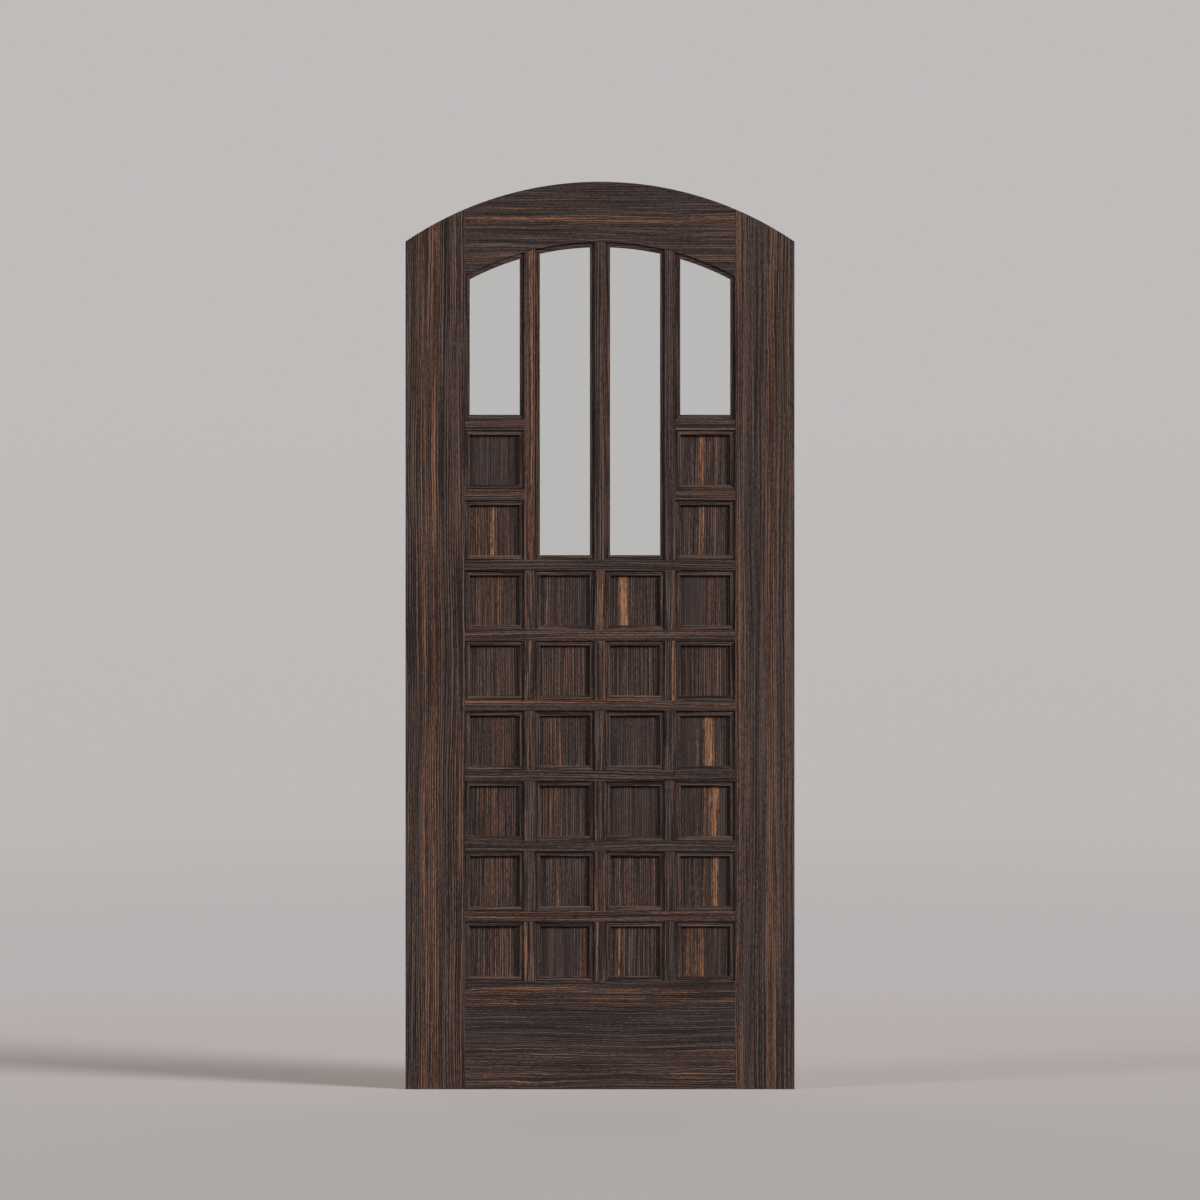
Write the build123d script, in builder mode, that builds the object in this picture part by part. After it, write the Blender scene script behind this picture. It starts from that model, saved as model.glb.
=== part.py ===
"""Arched door leaf: a stile-and-rail frame in solid wood, with rows of small square panels below four arched lights.

The frame stands in the XZ plane, with its foot at Z 0 and its hinge edge at X 0. Its front faces -Y.
Each panel sits between a front and a back moulding, which are mitred strips planted in the opening.
Each pane sits behind the same moulding, and deep splayed beads hold it from the back.
All sizes are in millimetres.
"""

import os
from math import sqrt

from build123d import *

# Leaf
door_width = 914.4
door_height = 2133.6
door_thickness = 44.45
arch_rise = 140.5  # crown of the leaf above the ends of its arched top edge

# Frame members
stile_width = 139.7
bottom_rail_height = 254.0
crown_depth = 142.0  # top rail, measured at the crown
bar_width = 25.4  # face of every cross rail, side rail, mullion and muntin
arris = 0.3  # eased edge round the faces of every member

# Panels, in rows counted from the bottom
panel_height = 139.7  # height of an opening
full_rows = 6  # rows with a panel in every column
side_rows = 2  # rows above those, with panels in the outer columns only
panel_thickness = 31.75
panel_gap = 1.0  # room round a panel for the wood to move

# Panes
glass_thickness = 6.0
glass_gap = 3.0  # room round a pane

# Mouldings round the panels and panes
moulding_width = 11.1
moulding_setback = 2.3  # from the face of the frame back to the face of the moulding
moulding_round = 0.8  # rounded inner edge
quirk = 0.9  # bevelled outer edge, which leaves a small groove beside the frame
bead_splay = 6.0  # how much narrower a back glazing bead is at the back of the leaf than at the pane
bead_land = 1.5  # square edge of a back glazing bead, between its splay and the pane

column_names = ("left", "centre_left", "centre_right", "right")
mullion_names = ("left_mullion", "centre_mullion", "right_mullion")

# Places that follow from the sizes above
columns = len(column_names)
centre_x = door_width / 2
rail_length = door_width - 2 * stile_width
opening_width = (rail_length - (columns - 1) * bar_width) / columns
column_pitch = opening_width + bar_width
row_pitch = panel_height + bar_width
half_thickness = door_thickness / 2
moulding_face = half_thickness - moulding_setback
panel_face = panel_thickness / 2
glass_back = panel_face - glass_thickness  # the panes' front faces are in line with those of the panels
arch_radius = (centre_x**2 + arch_rise**2) / (2 * arch_rise)
soffit_radius = arch_radius - crown_depth
arch_centre_z = door_height - arch_radius
tall_sill = bottom_rail_height + full_rows * row_pitch
side_sill = tall_sill + side_rows * row_pitch


def opening_left(column):
    return stile_width + column * column_pitch


def opening_foot(row):
    return bottom_rail_height + (row - 1) * row_pitch


def row_columns(row):
    return range(columns) if row <= full_rows else (0, columns - 1)


def light_sill(column):
    return side_sill if column in (0, columns - 1) else tall_sill


def on_arch(radius, x):
    """The point at x on the arc of that radius, struck from the centre that both arches share."""
    return x, arch_centre_z + sqrt(radius**2 - (x - centre_x) ** 2)


def arch_run(radius, start_x, end_x):
    """Start, middle and end of an arc along the arch."""
    return [on_arch(radius, x) for x in (start_x, (start_x + end_x) / 2, end_x)]


def arched_piece(left, right, foot, radius, front, back):
    """A flat piece with upright sides and a level foot, whose head follows the arch.

    Its front and back lie that far in front of the middle of the leaf.
    """
    with BuildPart() as piece:
        with BuildSketch(Plane.XZ.offset(back)):
            with BuildLine():
                Polyline(on_arch(radius, left), (left, foot), (right, foot), on_arch(radius, right))
                ThreePointArc(*arch_run(radius, left, right))
            make_face()
        extrude(amount=front - back)
    return piece


def ease_arrises(member):
    """Takes the sharp edges off the front and back faces of a frame member."""
    with member:
        chamfer(member.faces().filter_by(Axis.Y).edges(), arris)


def bars(width, height, places):
    """Frame members of one size, each centred on its place in the XZ plane."""
    with BuildPart() as members:
        with Locations(*[(x, 0, z) for x, z in places]):
            Box(width, door_thickness, height)
    ease_arrises(members)
    return members


def draw_run(points):
    if len(points) == 2:
        Line(*points)
    else:
        ThreePointArc(*points)


def mitred_strip(outer, inner, seat):
    """A square strip between its outer and inner runs, from its seat out to the face of the mouldings."""
    with BuildPart() as strip:
        with BuildSketch(Plane.XZ.offset(seat)):
            with BuildLine():
                draw_run(outer)
                Line(outer[-1], inner[-1])
                draw_run(inner)
                Line(inner[0], outer[0])
            make_face()
        extrude(amount=moulding_face - seat)
    return strip


def face_edge(strip, run):
    """The edge of a strip's face along its outer or inner run."""
    middle_x, middle_z = run[1] if len(run) == 3 else [sum(pair) / 2 for pair in zip(*run)]
    return strip.edges().sort_by_distance((middle_x, -moulding_face, middle_z))[0]


def moulding_strip(outer, inner):
    """A moulding that stands on a panel or pane, bevelled along the frame and rounded along its inner edge."""
    strip = mitred_strip(outer, inner, panel_face)
    with strip:
        chamfer(face_edge(strip, outer), quirk)
        fillet(face_edge(strip, inner), moulding_round)
    return strip.part


def splayed_strip(outer, inner):
    """A back glazing bead, modelled turned over to the front: it stands on the back of a pane and splays outwards."""
    strip = mitred_strip(outer, inner, -glass_back)
    splay_depth = moulding_face + glass_back - bead_land
    with strip:
        face = strip.faces().sort_by(Axis.Y)[0]
        chamfer(face_edge(strip, inner), bead_splay, splay_depth, reference=face)
    return strip.part


def save(piece, name):
    piece.part.label = name
    export_step(piece.part, f"parts/{name}.step")


def save_turned_over(front, name):
    """Saves pieces that were modelled on the front, turned over onto the back of the leaf."""
    with BuildPart() as back:
        mirror(front.part, about=Plane.XZ)
    save(back, name)


os.makedirs("parts", exist_ok=True)

# Stiles, which run the full height and carry the ends of the arch
for stile_name, stile_left in (("left_stile", 0), ("right_stile", door_width - stile_width)):
    stile = arched_piece(stile_left, stile_left + stile_width, 0, arch_radius, half_thickness, -half_thickness)
    ease_arrises(stile)
    save(stile, stile_name)

# Top rail, arched above and below, between the stiles
rail_left, rail_right = stile_width, door_width - stile_width
with BuildPart() as arched_top_rail:
    with BuildSketch(Plane.XZ):
        with BuildLine():
            ThreePointArc(*arch_run(arch_radius, rail_left, rail_right))
            Line(on_arch(arch_radius, rail_right), on_arch(soffit_radius, rail_right))
            ThreePointArc(*arch_run(soffit_radius, rail_left, rail_right))
            Line(on_arch(soffit_radius, rail_left), on_arch(arch_radius, rail_left))
        make_face()
    extrude(amount=half_thickness, both=True)
ease_arrises(arched_top_rail)
save(arched_top_rail, "arched_top_rail")

# Bottom rail
bottom_rail = bars(rail_length, bottom_rail_height, [(centre_x, bottom_rail_height / 2)])
save(bottom_rail, "bottom_rail")

# Cross rails over each full row of panels, the last of which is the sill of the tall lights
for row in range(1, full_rows + 1):
    rail_z = opening_foot(row) + panel_height + bar_width / 2
    cross_rail = bars(rail_length, bar_width, [(centre_x, rail_z)])
    save(cross_rail, "glazing_rail" if row == full_rows else f"cross_rail_{row}")

# Side rails over the panels beside the tall lights, between a stile and a mullion
for row in range(full_rows + 1, full_rows + side_rows + 1):
    for column in row_columns(row):
        side_x = opening_left(column) + opening_width / 2
        side_z = opening_foot(row) + panel_height + bar_width / 2
        side_rail = bars(opening_width, bar_width, [(side_x, side_z)])
        save(side_rail, f"{column_names[column]}_side_rail_{row - full_rows}")

# Mullions, from the sill of the tall lights up to the arched underside of the top rail
for column, mullion_name in enumerate(mullion_names):
    mullion_left = opening_left(column) + opening_width
    mullion_right = mullion_left + bar_width
    mullion = arched_piece(mullion_left, mullion_right, tall_sill, soffit_radius, half_thickness, -half_thickness)
    ease_arrises(mullion)
    save(mullion, mullion_name)

# Muntins, short uprights between the panels of a full row
for row in range(1, full_rows + 1):
    muntin_z = opening_foot(row) + panel_height / 2
    muntin_places = [(opening_left(column) - bar_width / 2, muntin_z) for column in range(1, columns)]
    save(bars(bar_width, panel_height, muntin_places), f"muntins_row_{row}")

# Panels, flat boards held between their mouldings
panel_places = []
for row in range(1, full_rows + side_rows + 1):
    panel_z = opening_foot(row) + panel_height / 2
    places = [(opening_left(column) + opening_width / 2, 0, panel_z) for column in row_columns(row)]
    panel_places += places
    with BuildPart() as panels:
        with Locations(*places):
            Box(opening_width - 2 * panel_gap, panel_thickness, panel_height - 2 * panel_gap)
    save(panels, f"panels_row_{row}")

# Panes of the lights, each with its head cut to the arch
for column, column_name in enumerate(column_names):
    left = opening_left(column) + glass_gap
    right = opening_left(column) + opening_width - glass_gap
    foot = light_sill(column) + glass_gap
    pane = arched_piece(left, right, foot, soffit_radius - glass_gap, panel_face, glass_back)
    save(pane, f"{column_name}_glass")

# Panel mouldings: the four strips of one opening, about its centre, repeated in every opening
half_width, half_height = opening_width / 2, panel_height / 2
sight_x, sight_z = half_width - moulding_width, half_height - moulding_width
upright_strips = []
level_strips = []
for side in (-1, 1):
    upright_outer = [(side * half_width, -half_height), (side * half_width, half_height)]
    upright_inner = [(side * sight_x, -sight_z), (side * sight_x, sight_z)]
    upright_strips.append(moulding_strip(upright_outer, upright_inner))
    level_outer = [(-half_width, side * half_height), (half_width, side * half_height)]
    level_inner = [(-sight_x, side * sight_z), (sight_x, side * sight_z)]
    level_strips.append(moulding_strip(level_outer, level_inner))

for strips, set_name in ((upright_strips, "upright_panel_mouldings"), (level_strips, "level_panel_mouldings")):
    with BuildPart() as panel_mouldings:
        with Locations(*panel_places):
            add(strips)
    save(panel_mouldings, f"front_{set_name}")
    save_turned_over(panel_mouldings, f"back_{set_name}")

# Glazing beads: two uprights, a sill and an arched head round each pane, as pairs of outer and inner runs
bead_radius = soffit_radius - moulding_width
upright_runs = []
sill_runs = []
head_runs = []
for column in range(columns):
    left, right = opening_left(column), opening_left(column) + opening_width
    sight_left, sight_right = left + moulding_width, right - moulding_width
    sill = light_sill(column)
    sight_sill = sill + moulding_width
    for edge_x, sight_edge in ((left, sight_left), (right, sight_right)):
        bead_outer = [(edge_x, sill), on_arch(soffit_radius, edge_x)]
        bead_inner = [(sight_edge, sight_sill), on_arch(bead_radius, sight_edge)]
        upright_runs.append((bead_outer, bead_inner))
    sill_runs.append(([(left, sill), (right, sill)], [(sight_left, sight_sill), (sight_right, sight_sill)]))
    head_runs.append((arch_run(soffit_radius, left, right), arch_run(bead_radius, sight_left, sight_right)))

for runs, set_name in (
    (upright_runs, "upright_glazing_beads"),
    (sill_runs, "sill_glazing_beads"),
    (head_runs, "arched_glazing_beads"),
):
    with BuildPart() as front_beads:
        add([moulding_strip(outer, inner) for outer, inner in runs])
    save(front_beads, f"front_{set_name}")
    with BuildPart() as back_beads:
        add([splayed_strip(outer, inner) for outer, inner in runs])
    save_turned_over(back_beads, f"back_{set_name}")
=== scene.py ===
import math
import bpy
import bmesh
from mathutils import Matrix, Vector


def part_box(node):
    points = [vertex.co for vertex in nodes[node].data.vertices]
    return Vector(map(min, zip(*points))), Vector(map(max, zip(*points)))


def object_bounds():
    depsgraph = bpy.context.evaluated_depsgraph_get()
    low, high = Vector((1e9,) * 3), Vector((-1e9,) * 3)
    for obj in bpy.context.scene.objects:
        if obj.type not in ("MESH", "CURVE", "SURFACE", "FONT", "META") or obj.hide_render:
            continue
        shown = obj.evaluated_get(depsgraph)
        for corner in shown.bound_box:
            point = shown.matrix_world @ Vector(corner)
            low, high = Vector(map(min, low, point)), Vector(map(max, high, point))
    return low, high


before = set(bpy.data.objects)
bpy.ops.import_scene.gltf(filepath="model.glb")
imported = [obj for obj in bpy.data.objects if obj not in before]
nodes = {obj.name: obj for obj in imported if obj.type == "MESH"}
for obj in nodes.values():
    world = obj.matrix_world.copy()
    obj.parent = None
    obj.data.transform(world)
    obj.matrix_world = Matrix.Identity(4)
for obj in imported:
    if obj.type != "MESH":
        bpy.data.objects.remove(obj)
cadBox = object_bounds()
scene = bpy.context.scene
scene.view_settings.view_transform = "Standard"
print("frame loaded:", len(nodes), "nodes")

# sizes read from the frame, in metres
leafLow, leafHigh = cadBox
leafMiddle = (leafLow.x + leafHigh.x) / 2
frontFace = leafLow.y
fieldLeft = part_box("bottom_rail")[0].x  # field of panels between the stiles
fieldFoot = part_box("bottom_rail")[1].z
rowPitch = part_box("panels_row_2")[0].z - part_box("panels_row_1")[0].z
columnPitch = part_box("centre_mullion")[0].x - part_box("left_mullion")[0].x


def linear(hexColour):
    # sRGB hex to the linear colour that shaders take
    channels = [int(hexColour[i:i + 2], 16) / 255 for i in (0, 2, 4)]
    return [c / 12.92 if c <= 0.04045 else ((c + 0.055) / 1.055) ** 2.4 for c in channels] + [1.0]


def addNode(tree, kind, inputs=(), **settings):
    # inputs: a list for the first sockets in order, or a dictionary. A node is linked by its first output.
    node = tree.nodes.new("ShaderNode" + kind)
    for name, value in settings.items():
        setattr(node, name, value)
    for socket, value in inputs.items() if isinstance(inputs, dict) else enumerate(inputs):
        if isinstance(value, bpy.types.Node):
            value = value.outputs[0]
        if isinstance(value, bpy.types.NodeSocket):
            tree.links.new(value, node.inputs[socket])
        else:
            node.inputs[socket].default_value = value
    return node


def newMaterial(name):
    material = bpy.data.materials.new(name)
    material.use_nodes = True
    material.node_tree.nodes.clear()
    return material, material.node_tree


# Wenge, planed and given a satin lacquer: a near-black brown ground with fine straight lines, black
# veins and short open pores along the grain, warm brown bands, and now and then a paler orange streak.
# A pair of sizes is the figure's width across the grain and its length along it, in mm. A span is the pair
# of noise levels, from 0 to 1, between which one look turns into the next.
wenge = {
    "ground": ("201a19", "392f2d", "564944"),  # dark line, body and light line of the plain wood
    "brown": ("35241d", "583e32", "7c5a48"),  # the same in a warm band
    "orange": ("644433", "8a6149", "a67959"),  # and in a pale streak
    "lineStops": (0.40, 0.50, 0.60),  # where those three stand between the darkest line and the lightest
    "vein": "1b1412",
    "plain": "372e2d",  # wood cut where hardly any figure shows
    "warmthStops": (0.0, 0.5, 1.0),  # where ground, brown and orange stand on the scale of warmth
    "wholeSpan": (0.2, 0.8), "middleSpan": (0.3, 0.7),  # a noise's usual levels, and the middle of them
    "breakUp": 0.55,  # how far each figure breaks up into finer ones
    "line": (2.0, 420),  # drawn a little coarser than real, so that the lines show in the render
    "speck": (1.8, 10), "speckle": 0.34,  # short breaks in the lines, and how deep they are
    "dash": (2.0, 32), "poreSpan": (0.44, 0.30), "fleckSpan": (0.40, 0.60),  # open pores, and warm flecks
    "band": (13, 900), "bandSpan": (0.40, 0.75),  # slow warm bands
    "bandWarmth": (0.06, 0.22),  # how much cooler and warmer than the board they are
    "fade": (26, 210), "fadeSpan": (0.35, 0.6),  # where veins grow faint and streaks narrow
    "streakSpread": (1.4, 0.75),  # a streak's edges, drawn in by the first and let out by the second
    "veinPitch": 5.6,  # mm between veins
    "veinStart": -0.2,  # where a vein begins on its wave, from -1 in the trough to 1 at the crest
    "veinBlack": 0.58, "veinFade": (0.22, 0.17),  # how black, and how much fainter and blacker in places
    "veinsInStreak": 0.4,  # share of the veins that a pale streak keeps
    "veinShift": 1.1, "bunch": (14, 700),  # how far veins bunch and spread, as a share of their pitch
    "veinLean": 0.7,  # how far veins lean through the board, so that its edges show lines too
    "drift": (110, 620), "wave": (24, 45),  # slow drift of the grain, and its small waves
    "fray": 1.2, "streakEdge": 0.45, "plainEdge": 0.15,  # ragged edge in mm, and how soft the edges are
    "roughness": (0.62, 0.50),  # open dark line, filled light line
    "ior": 1.5, "gloss": 0.10,  # satin lacquer, so little gloss
    "relief": 0.15, "reliefStrength": 0.4,  # mm of grain under the lacquer
    "seedStep": (0.317, 0.831),  # metres from one board's wood to the next, through the log and along it
    "firstSeed": {"members": 0, "muntins": 20, "panels": 30, "mouldings": 50},
}


def wengeMaterial(name, level=False, edge=0.0, seed=0, warmth=0.02, figured=1.0, veined=1.0, flecks=0.25,
                  pores=0.4, streaks=(), plain=(), run=1.0, wander=7.0, ripple=1.2, cutApart=None):
    # level: grain along X, otherwise along Z. edge: where the streaks are measured from, in metres.
    # seed: which length of wood. warmth: of the bands, 0 plain, 0.5 brown and 1 orange.
    # figured: depth of the lines and bands. veined and pores: blackness of the veins and of the open pores.
    # flecks: how far the warm wood is broken up. run: length of the figure.
    # streaks: (place, half width, warmth), in mm across the grain.
    # plain: (place, half width, share) of wood with little figure.
    # wander and ripple: how far the grain bends, in mm.
    # cutApart: (axis, start, pitch) of strips that were cut from different lengths of wood.
    material, tree = newMaterial(name)
    depth = (1 + figured) / 2  # the plainest wood keeps half of its figure
    plainAt, brownAt, orangeAt = wenge["warmthStops"]

    def figure(vector, size, stretch=1.0, detail=1.0):
        # noise as wide and as long as the figure, in grain space
        width, length = size
        scale = (1000 / width, 1000 / width, 1000 / (length * stretch))
        scaled = addNode(tree, "VectorMath", [vector, scale], operation="MULTIPLY")
        return addNode(tree, "TexNoise", {
            "Vector": scaled, "Scale": 1.0, "Detail": detail, "Roughness": wenge["breakUp"]})

    # grain space: X across the face from the board's edge, Y through the board, Z along the grain
    place = addNode(tree, "TexCoord").outputs["Object"]
    through, along = wenge["seedStep"]
    turned = addNode(tree, "Mapping", {
        "Vector": place,
        "Location": (-edge, through * seed, along * seed),
        "Rotation": (0, math.pi / 2 if level else 0, 0),
    })
    if cutApart:
        axis, start, pitch = cutApart
        strip = addNode(tree, "SeparateXYZ", [place]).outputs[axis]
        strip = addNode(tree, "Math", [strip, start], operation="SUBTRACT")
        strip = addNode(tree, "Math", [strip, pitch], operation="DIVIDE")
        strip = addNode(tree, "Math", [strip], operation="FLOOR")
        jump = addNode(tree, "CombineXYZ", {"Y": strip})
        turned = addNode(tree, "VectorMath", [turned, jump], operation="ADD")

    drift = figure(turned, wenge["drift"], run)
    drift = addNode(tree, "MapRange", [drift, *wenge["wholeSpan"], -wander / 1000, wander / 1000])
    wave = figure(turned, wenge["wave"])
    wave = addNode(tree, "MapRange", [wave, *wenge["wholeSpan"], -ripple / 1000, ripple / 1000])
    bend = addNode(tree, "Math", [drift, wave], operation="ADD")
    bend = addNode(tree, "CombineXYZ", {"X": bend})
    bent = addNode(tree, "VectorMath", [turned, bend], operation="ADD")

    # fine lines, broken by specks
    specks = figure(bent, wenge["speck"])
    specks = addNode(tree, "MapRange", [specks, 0, 1, -wenge["speckle"] / 2, wenge["speckle"] / 2])
    lines = figure(bent, wenge["line"], run)
    lines = addNode(tree, "MapRange", [lines, 0, 1, (1 - depth) / 2, (1 + depth) / 2])
    lines = addNode(tree, "Math", [lines, specks], operation="ADD")

    # veins at an even pitch, bunched and spread, faint in places
    bentParts = addNode(tree, "SeparateXYZ", [bent])
    across = bentParts.outputs["X"]
    lean = addNode(tree, "Math", [bentParts.outputs["Y"], wenge["veinLean"]], operation="MULTIPLY")
    veins = addNode(tree, "Math", [across, lean], operation="ADD")
    veins = addNode(tree, "Math", [veins, wenge["veinPitch"] / 1000], operation="DIVIDE")
    shift = figure(bent, wenge["bunch"], run)
    shift = addNode(tree, "Math", [shift, wenge["veinShift"] * depth], operation="MULTIPLY")
    veins = addNode(tree, "Math", [veins, shift], operation="ADD")
    veins = addNode(tree, "Math", [veins, 2 * math.pi], operation="MULTIPLY")
    veins = addNode(tree, "Math", [veins], operation="SINE")
    veins = addNode(
        tree, "MapRange", [veins, wenge["veinStart"], 1, 0, 1], interpolation_type="SMOOTHSTEP")
    fading = figure(bent, wenge["fade"], run)
    fainter, blacker = wenge["veinFade"]
    faint = veined * (wenge["veinBlack"] - fainter * figured)
    strong = veined * (wenge["veinBlack"] + blacker * figured)
    strength = addNode(tree, "MapRange", [fading, *wenge["fadeSpan"], faint, strong])
    veins = addNode(tree, "Math", [veins, strength], operation="MULTIPLY")
    dashes = figure(bent, wenge["dash"])
    openPores = addNode(
        tree, "MapRange", [dashes, *wenge["poreSpan"], 0, pores], interpolation_type="SMOOTHSTEP")

    # patches of other wood, which widen and narrow along the grain
    spread = addNode(tree, "MapRange", [fading, *wenge["middleSpan"], *wenge["streakSpread"]])
    ragged = wenge["fray"] / 1000
    fray = addNode(tree, "MapRange", [lines, *wenge["middleSpan"], ragged, -ragged])

    def patch(middle, halfWidth, amount, soft):
        away = addNode(tree, "Math", [across, middle / 1000], operation="SUBTRACT")
        away = addNode(tree, "Math", [away], operation="ABSOLUTE")
        away = addNode(tree, "Math", [away, spread], operation="MULTIPLY")
        away = addNode(tree, "Math", [away, fray], operation="ADD")
        outer = halfWidth * (1 + soft) / 1000
        inner = halfWidth * (1 - soft) / 1000
        return addNode(tree, "MapRange", [away, outer, inner, 0, amount], interpolation_type="SMOOTHSTEP")

    # warmth of the wood: its own slow bands, then each streak, broken by flecks
    bands = figure(bent, wenge["band"], run, detail=2.0)
    cooler, warmer = wenge["bandWarmth"]
    warm = addNode(tree, "MapRange", [
        bands, *wenge["bandSpan"], warmth - cooler * figured, warmth + warmer * figured])
    for streak in streaks:
        warm = addNode(tree, "Math", [warm, patch(*streak, wenge["streakEdge"])], operation="MAXIMUM")
    broken = addNode(tree, "MapRange", [dashes, *wenge["fleckSpan"], 1 - flecks, 1 + flecks])
    warm = addNode(tree, "Math", [warm, broken], operation="MULTIPLY")
    kept = addNode(tree, "MapRange", [warm, brownAt, orangeAt, 1, wenge["veinsInStreak"]])
    veins = addNode(tree, "Math", [veins, kept], operation="MULTIPLY")

    # colour: ground, then brown, orange, black and plain wood over it
    tones = {}
    for tone in ("ground", "brown", "orange"):
        tones[tone] = addNode(tree, "ValToRGB", [lines])
        stops = tones[tone].color_ramp.elements
        stops.new(0.5)
        for stop, position, hexColour in zip(stops, wenge["lineStops"], wenge[tone]):
            stop.position = position
            stop.color = linear(hexColour)
    browned = addNode(tree, "MapRange", [warm, plainAt, brownAt, 0, 1])
    paled = addNode(tree, "MapRange", [warm, brownAt, orangeAt, 0, 1])
    blackened = addNode(tree, "Math", [veins, openPores], operation="MAXIMUM")
    layers = [(browned, tones["brown"]), (paled, tones["orange"]), (blackened, linear(wenge["vein"]))]
    if plain:
        calm = 0.0
        for plainPatch in plain:
            calmer = patch(*plainPatch, wenge["plainEdge"])
            calm = addNode(tree, "Math", [calm, calmer], operation="MAXIMUM")
        layers.append((calm, linear(wenge["plain"])))
    colour = tones["ground"]
    for share, tone in layers:
        colour = addNode(tree, "Mix", {0: share, 6: colour, 7: tone}, data_type="RGBA").outputs[2]

    height = addNode(tree, "Math", [lines, openPores], operation="SUBTRACT")
    relief = addNode(tree, "Bump", {
        "Height": height, "Strength": wenge["reliefStrength"], "Distance": wenge["relief"] / 1000})
    shader = addNode(tree, "BsdfPrincipled", {
        "Base Color": colour,
        "Roughness": addNode(tree, "MapRange", [lines, *wenge["middleSpan"], *wenge["roughness"]]),
        "IOR": wenge["ior"],
        "Specular IOR Level": wenge["gloss"],
        "Normal": relief,
    })
    addNode(tree, "OutputMaterial", {"Surface": shader})
    return material


def dress(nodeName, material):
    mesh = nodes[nodeName].data
    mesh.materials.clear()
    mesh.materials.append(material)


# Frame members: streaks in mm from the left edge or the foot of each board
members = {
    "left_stile": {"veined": 1.4, "wander": 8, "streaks": [
        (57, 26, 0.22), (44, 6, 0.48), (69, 6, 0.50), (7, 3, 0.14), (24, 2, 0.14),
        (101, 2, 0.10), (109, 2, 0.26), (117, 2, 0.27), (126, 2, 0.26), (134, 2, 0.22)]},
    "right_stile": {"warmth": 0.04, "figured": 0.6, "veined": 0.68, "wander": 6, "streaks": [
        (9, 5, 0.42), (20, 2, 0.20), (80, 9, 0.38), (93, 3, 0.30),
        (101, 2, 0.14), (112, 2, 0.14), (126, 3, 0.22)]},
    "arched_top_rail": {
        "level": True, "warmth": 0.0, "figured": 0.35, "run": 0.6, "wander": 6, "flecks": 0.4, "streaks": [
            (133, 7, 0.44), (112, 4, 0.24), (94, 4, 0.20), (70, 5, 0.20), (45, 7, 0.36), (158, 4, 0.14)]},
    "bottom_rail": {
        "level": True, "warmth": -0.05, "figured": 0.2, "veined": 1.3, "flecks": 0.65, "run": 0.6,
        "wander": 6, "ripple": 1.8, "streaks": [
            (235, 7, 0.36), (212, 6, 0.34), (202, 3, 0.30), (55, 50, 0.11), (92, 3, 0.22), (64, 2, 0.28),
            (36, 3, 0.30), (18, 2, 0.28)]},
    "glazing_rail": {"level": True, "warmth": -0.02, "streaks": [(24, 2, 0.2)]},
    "cross_rail_5": {
        "level": True, "warmth": -0.04, "figured": 0.5, "veined": 1.1,
        "streaks": [(20, 4, 0.33), (8, 3, 0.12)]},
    "cross_rail_4": {
        "level": True, "warmth": 0.0, "figured": 0.5, "veined": 1.1,
        "streaks": [(20, 4, 0.47), (11, 2, 0.2)]},
    "cross_rail_3": {
        "level": True, "warmth": 0.02, "figured": 0.3, "veined": 1.1,
        "streaks": [(12, 3, 0.16)]},
    "cross_rail_2": {
        "level": True, "warmth": 0.0, "figured": 0.3, "veined": 1.2,
        "streaks": [(22, 2, 0.2)]},
    "cross_rail_1": {
        "level": True, "warmth": 0.0, "figured": 0.5, "veined": 1.1,
        "streaks": [(21, 4, 0.38), (8, 4, 0.26)]},
    "left_side_rail_1": {"level": True, "warmth": 0.1, "streaks": [(18, 3, 0.3)]},
    "left_side_rail_2": {"level": True, "warmth": 0.1, "streaks": [(10, 3, 0.3)]},
    "right_side_rail_1": {"level": True, "warmth": 0.1, "streaks": [(12, 3, 0.3)]},
    "right_side_rail_2": {"level": True, "warmth": 0.1, "streaks": [(17, 3, 0.3)]},
    "left_mullion": {"warmth": 0.12, "wander": 3, "streaks": [(4, 2, 0.38), (16, 5, 0.60)]},
    "centre_mullion": {"warmth": 0.0, "wander": 3, "streaks": [(23, 3, 0.18)]},
    "right_mullion": {"warmth": 0.0, "wander": 3, "streaks": [(22, 3, 0.22)]},
}
for seed, (nodeName, board) in enumerate(members.items(), wenge["firstSeed"]["members"]):
    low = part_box(nodeName)[0]
    edge = low.z if board.get("level") else low.x
    dress(nodeName, wengeMaterial("wenge_" + nodeName, edge=edge, seed=seed, **board))
print("frame members dressed:", len(members))

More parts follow.
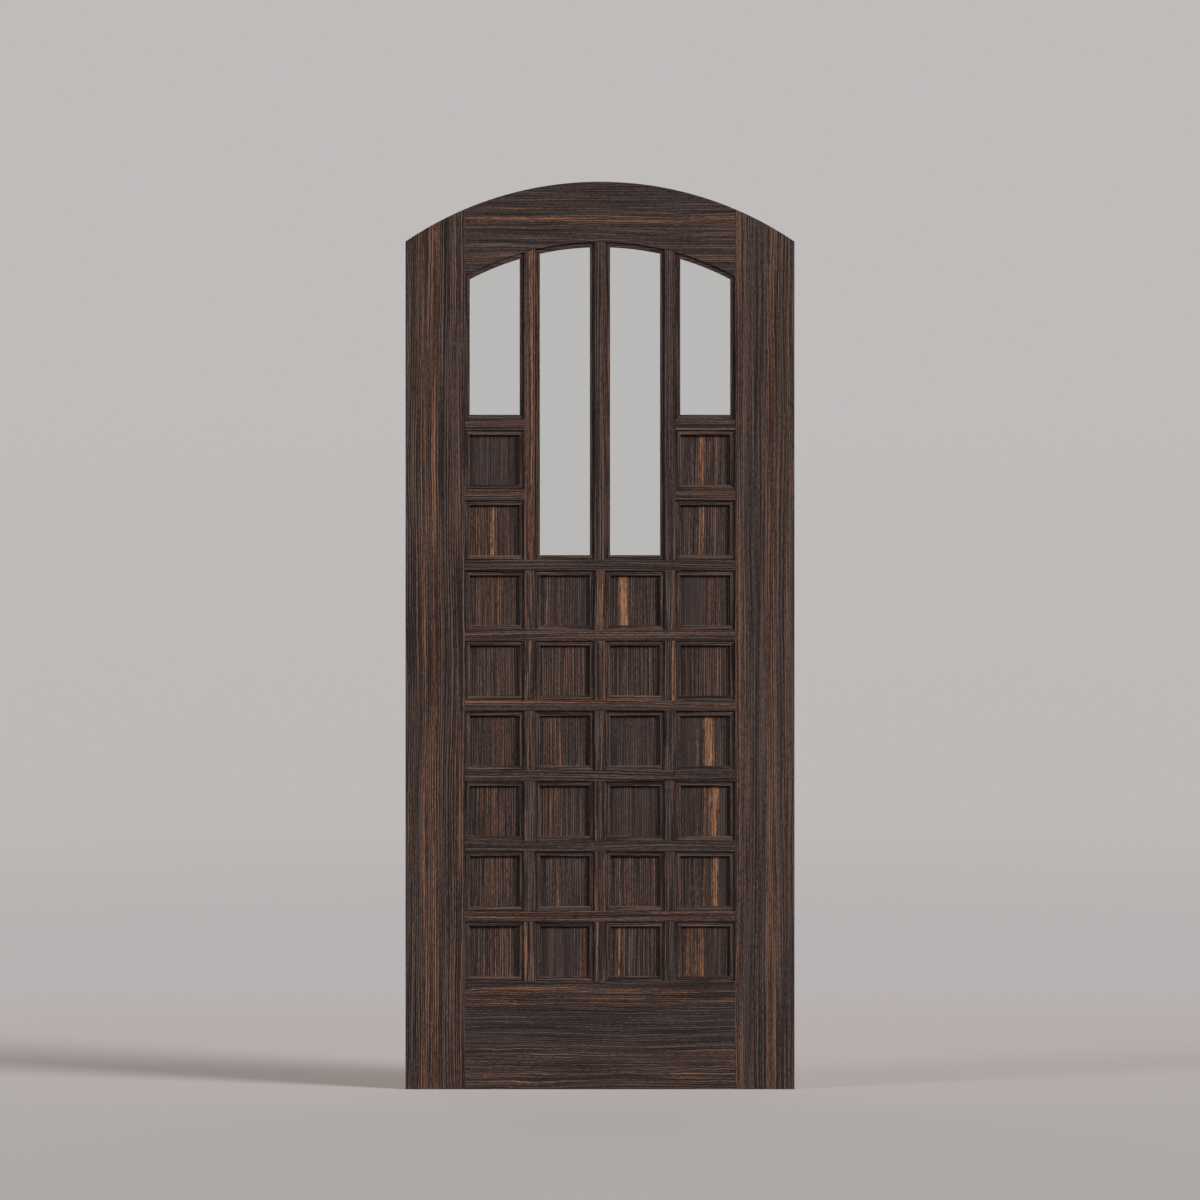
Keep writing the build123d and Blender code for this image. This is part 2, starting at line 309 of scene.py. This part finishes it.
# Muntins and panels, row by row from the bottom: streaks in mm from the left end of the field
muntin = {"run": 0.4, "wander": 3}
muntinStreaks = {
    6: [(145, 3, 0.36), (321, 9, 0.50), (489, 3, 0.46)],
    5: [(143, 3, 0.36), (154, 4, 0.42), (323, 7, 0.46), (491, 4, 0.72)],
    4: [(149, 3, 0.32), (322, 4, 0.28)],
    3: [(144, 3, 0.16)],
    2: [(145, 4, 0.24), (307, 3, 0.36), (329, 3, 0.50)],
    1: [(142, 3, 0.58), (158, 4, 0.36), (307, 3, 0.36), (322, 3, 0.48)],
}
panel = {
    "warmth": 0.04, "figured": 0.5, "veined": 1.2, "pores": 0.6, "run": 0.7, "wander": 3, "ripple": 0.6}
panelStreaks = {
    8: [(555, 6, 0.70), (576, 2, 0.36), (589, 3, 0.42)],
    7: [(25, 6, 0.40), (38, 3, 0.36), (66, 4, 0.72), (60, 50, 0.20), (556, 6, 0.74), (589, 3, 0.42)],
    6: [(68, 40, 0.24), (196, 4, 0.38), (234, 20, 0.18), (374, 11, 1.10), (390, 6, 0.36), (576, 2, 0.42),
        (584, 2, 0.40), (596, 3, 0.36)],
    5: [(60, 50, 0.14), (88, 3, 0.34), (222, 50, 0.17), (244, 2, 0.42), (256, 2, 0.42), (268, 3, 0.40),
        (400, 60, 0.14), (434, 3, 0.38), (562, 60, 0.13), (593, 4, 0.36)],
    4: [(78, 24, 0.26), (202, 3, 0.50), (212, 3, 0.48), (223, 4, 0.44), (546, 4, 0.48), (572, 10, 0.94),
        (582, 4, 0.60)],
    3: [(60, 36, 0.30), (64, 3, 0.48), (203, 3, 0.46), (212, 2, 0.46), (224, 5, 0.36), (230, 50, 0.12),
        (562, 5, 0.48), (562, 60, 0.08), (586, 11, 0.93)],
    2: [(62, 16, 0.34), (100, 3, 0.34), (219, 3, 0.66), (364, 4, 0.37), (387, 4, 0.39), (443, 4, 0.34),
        (562, 4, 0.38), (588, 8, 0.80)],
    1: [(48, 4, 0.28), (69, 7, 0.44), (92, 4, 0.34), (105, 4, 0.36), (279, 12, 0.34), (366, 7, 0.60),
        (532, 22, 0.38), (524, 3, 0.44), (536, 3, 0.42), (556, 6, 0.60)],
}
# and the panels, or halves of panels, that are plain
plainPanels = {
    8: [(60, 60, 0.4)],
    6: [(260, 50, 0.2), (533, 32, 0.6)],
    4: [(400, 60, 0.1), (520, 24, 0.3)],
    3: [(262, 36, 0.2), (400, 60, 0.35), (525, 24, 0.3), (606, 8, 0.5)],
    2: [(606, 12, 0.5)],
    1: [(220, 45, 0.4), (590, 24, 0.3)],
}
for row, streaks in muntinStreaks.items():
    seed = wenge["firstSeed"]["muntins"] + row
    dress(f"muntins_row_{row}", wengeMaterial(
        f"wenge_muntins_row_{row}", edge=fieldLeft, seed=seed, streaks=streaks, **muntin))
for row, streaks in panelStreaks.items():
    seed = wenge["firstSeed"]["panels"] + row
    dress(f"panels_row_{row}", wengeMaterial(
        f"wenge_panels_row_{row}", edge=fieldLeft, seed=seed, streaks=streaks,
        plain=plainPanels.get(row, ()), **panel))
print("muntins and panels dressed:", len(muntinStreaks) + len(panelStreaks))

# Mouldings and beads: short strips, each from another length of wood
strip = {"run": 0.4, "wander": 2, "warmth": 0.06}
upright = {**strip, "cutApart": ("Z", fieldFoot, rowPitch)}
levelled = {**strip, "cutApart": ("X", fieldLeft, columnPitch), "level": True}
mouldings = {
    "upright_panel_mouldings": upright,
    "level_panel_mouldings": levelled,
    "upright_glazing_beads": {**strip, "warmth": 0.04},
    "sill_glazing_beads": levelled,
    "arched_glazing_beads": levelled,
}
for seed, (kind, strips) in enumerate(mouldings.items(), wenge["firstSeed"]["mouldings"]):
    material = wengeMaterial("wenge_" + kind, seed=seed, **strips)
    for face in ("front_", "back_"):
        dress(face + kind, material)
print("mouldings dressed:", 2 * len(mouldings))

# Float glass: polished and clear, with the faint green of its iron
glass = {"tint": "f6faf9", "ior": 1.52, "roughness": 0.0}
glassMaterial, glassTree = newMaterial("float_glass")
pane = addNode(glassTree, "BsdfPrincipled", {
    "Base Color": linear(glass["tint"]), "Roughness": glass["roughness"], "IOR": glass["ior"],
    "Transmission Weight": 1.0})
addNode(glassTree, "OutputMaterial", {"Surface": pane})
for column in ("left", "centre_left", "centre_right", "right"):
    dress(column + "_glass", glassMaterial)
print("glass dressed")

# Camera: level, square to the front, a long lens as far back as the photograph's frame needs
camera = {"lens": 100, "sensor": 36, "frameWidth": 2.8208, "height": 1.1502}
cameraData = bpy.data.cameras.new("camera")
cameraData.lens = camera["lens"]
cameraData.sensor_width = camera["sensor"]
cameraObject = bpy.data.objects.new("camera", cameraData)
cameraObject.location = (
    leafMiddle, frontFace - camera["frameWidth"] * camera["lens"] / camera["sensor"], camera["height"])
cameraObject.rotation_euler = (math.pi / 2, 0, 0)
scene.collection.objects.link(cameraObject)
scene.camera = cameraObject

# Studio: a broad soft lamp on each side, two low lamps behind for the back of the leaf, and a dim room.
# Each lamp: azimuth from the front, to the right, and elevation, in degrees; the light that it gives square
# on; and how wide it looks, in degrees.
studio = {
    "lamps": {
        "keyLamp": (70.7, 28, 2.51, 14),
        "fillLamp": (-71.5, 20, 0.83, 12),
        "backRightLamp": (150, 9, 0.40, 40),
        "backLeftLamp": (-150, 9, 0.40, 40),
    },
    "room": 0.035, "roomColour": "ffffff",
    "wallHigh": "c0bcbb", "wallLow": "bfb9b8", "horizon": (-0.05, 0.06),  # as the eye sees it
    "paintedFloorTones": ((-0.6, "ada498"), (0.3, "baaaa3"), (2.0, "b8b2b2")),  # painted light: the floor's lit tone as the eye sees it, by metres behind the door
    "floorPaint": "8d8c90", "floorBounce": "403e3d",  # as lamps see it, and what it throws back at the leaf
    "paintedLightShare": 0.45,  # share of painted light by the door, a glow in the floor's lit tone that stands in for the room's light; the rest is paint that takes shadows
    "floorRadius": 14, "floorSides": 96, "fadeBehind": (0.0, 2.6), "fadeAround": (3.0, 11.0),
}
for name, (azimuth, elevation, level, width) in studio["lamps"].items():
    lampData = bpy.data.lights.new(name, "SUN")
    lampData.energy = level * math.pi  # so that white card held square to the lamp shows as level
    lampData.angle = math.radians(width)
    lamp = bpy.data.objects.new(name, lampData)
    lamp.rotation_euler = (math.radians(90 - elevation), 0, math.radians(azimuth))
    scene.collection.objects.link(lamp)


def seenDirectly(tree):
    # 1 where the eye looks straight at the backdrop, or at it in a reflection or through glass
    path = addNode(tree, "LightPath").outputs
    seen = addNode(tree, "Math", [path["Is Camera Ray"], path["Is Glossy Ray"]], operation="MAXIMUM")
    return addNode(tree, "Math", [seen, path["Is Transmission Ray"]], operation="MAXIMUM")


world = bpy.data.worlds.new("studio")
world.use_nodes = True
scene.world = world
roomTree = world.node_tree
roomTree.nodes.clear()
upward = addNode(roomTree, "TexCoord").outputs["Generated"]
upward = addNode(roomTree, "SeparateXYZ", [upward]).outputs["Z"]
upward = addNode(roomTree, "MapRange", [upward, *studio["horizon"], 0, 1], interpolation_type="SMOOTHSTEP")
wallColour = addNode(roomTree, "Mix", {
    0: upward, 6: linear(studio["wallLow"]), 7: linear(studio["wallHigh"])}, data_type="RGBA").outputs[2]
room = addNode(roomTree, "Background", {"Color": linear(studio["roomColour"]), "Strength": studio["room"]})
wall = addNode(roomTree, "Background", {"Color": wallColour, "Strength": 1.0})
both = addNode(roomTree, "MixShader", [seenDirectly(roomTree), room, wall])
addNode(roomTree, "OutputWorld", {"Surface": both})

# Floor: a wide pale disc that fades into the backdrop behind the door and far to every side
floorMiddle = (leafMiddle, 0, leafLow.z)
floorMesh = bmesh.new()
bmesh.ops.create_circle(
    floorMesh, cap_ends=True, segments=studio["floorSides"], radius=studio["floorRadius"])
bmesh.ops.translate(floorMesh, verts=floorMesh.verts, vec=floorMiddle)
floorData = bpy.data.meshes.new("floor")
floorMesh.to_mesh(floorData)
floorMesh.free()
floor = bpy.data.objects.new("floor", floorData)
scene.collection.objects.link(floor)

# Studio paint: matt and even, mixed with painted light: a glow in the floor's lit tone, lighter towards the
# backdrop
floorMaterial, floorTree = newMaterial("studio_paint_and_painted_light")
floorPlace = addNode(floorTree, "TexCoord").outputs["Object"]
around = addNode(floorTree, "VectorMath", [floorPlace, floorMiddle], operation="DISTANCE").outputs["Value"]
around = addNode(
    floorTree, "MapRange", [around, *studio["fadeAround"], 0, 1], interpolation_type="SMOOTHSTEP")
depth = addNode(floorTree, "SeparateXYZ", [floorPlace]).outputs["Y"]
behind = addNode(
    floorTree, "MapRange", [depth, *studio["fadeBehind"], 0, 1], interpolation_type="SMOOTHSTEP")
nearest = studio["paintedFloorTones"][0][0]
farthest = studio["paintedFloorTones"][-1][0]
depth = addNode(floorTree, "MapRange", [depth, nearest, farthest, 0, 1])
# painted light: the floor's lit tones, by depth behind the door, then faded into the backdrop
paintedFloorLight = addNode(floorTree, "ValToRGB", [depth])
paintedFloorLight.color_ramp.elements.new(0.5)
for stop, (stopDepth, hexColour) in zip(paintedFloorLight.color_ramp.elements, studio["paintedFloorTones"]):
    stop.position = (stopDepth - nearest) / (farthest - nearest)
    stop.color = linear(hexColour)
paintedFloorLight = addNode(floorTree, "Mix", {
    0: around, 6: paintedFloorLight, 7: linear(studio["wallLow"])}, data_type="RGBA").outputs[2]
# share of painted light: its share by the door, rising to all of it behind the door and far away
paintedGlowShare = addNode(floorTree, "Math", [around, behind], operation="MAXIMUM")
paintedGlowShare = addNode(floorTree, "MapRange", [paintedGlowShare, 0, 1, studio["paintedLightShare"], 1])
paint = addNode(floorTree, "BsdfDiffuse", {"Color": linear(studio["floorPaint"])})
bounce = addNode(floorTree, "BsdfDiffuse", {"Color": linear(studio["floorBounce"])})
# painted light: the floor glows in its lit tone, which keeps the cast shadows on it pale
paintedGlow = addNode(floorTree, "Emission", {"Color": paintedFloorLight, "Strength": 1.0})
shown = addNode(floorTree, "MixShader", [paintedGlowShare, paint, paintedGlow])
floorSurface = addNode(floorTree, "MixShader", [seenDirectly(floorTree), bounce, shown])
addNode(floorTree, "OutputMaterial", {"Surface": floorSurface})
floorData.materials.append(floorMaterial)
print("studio set")
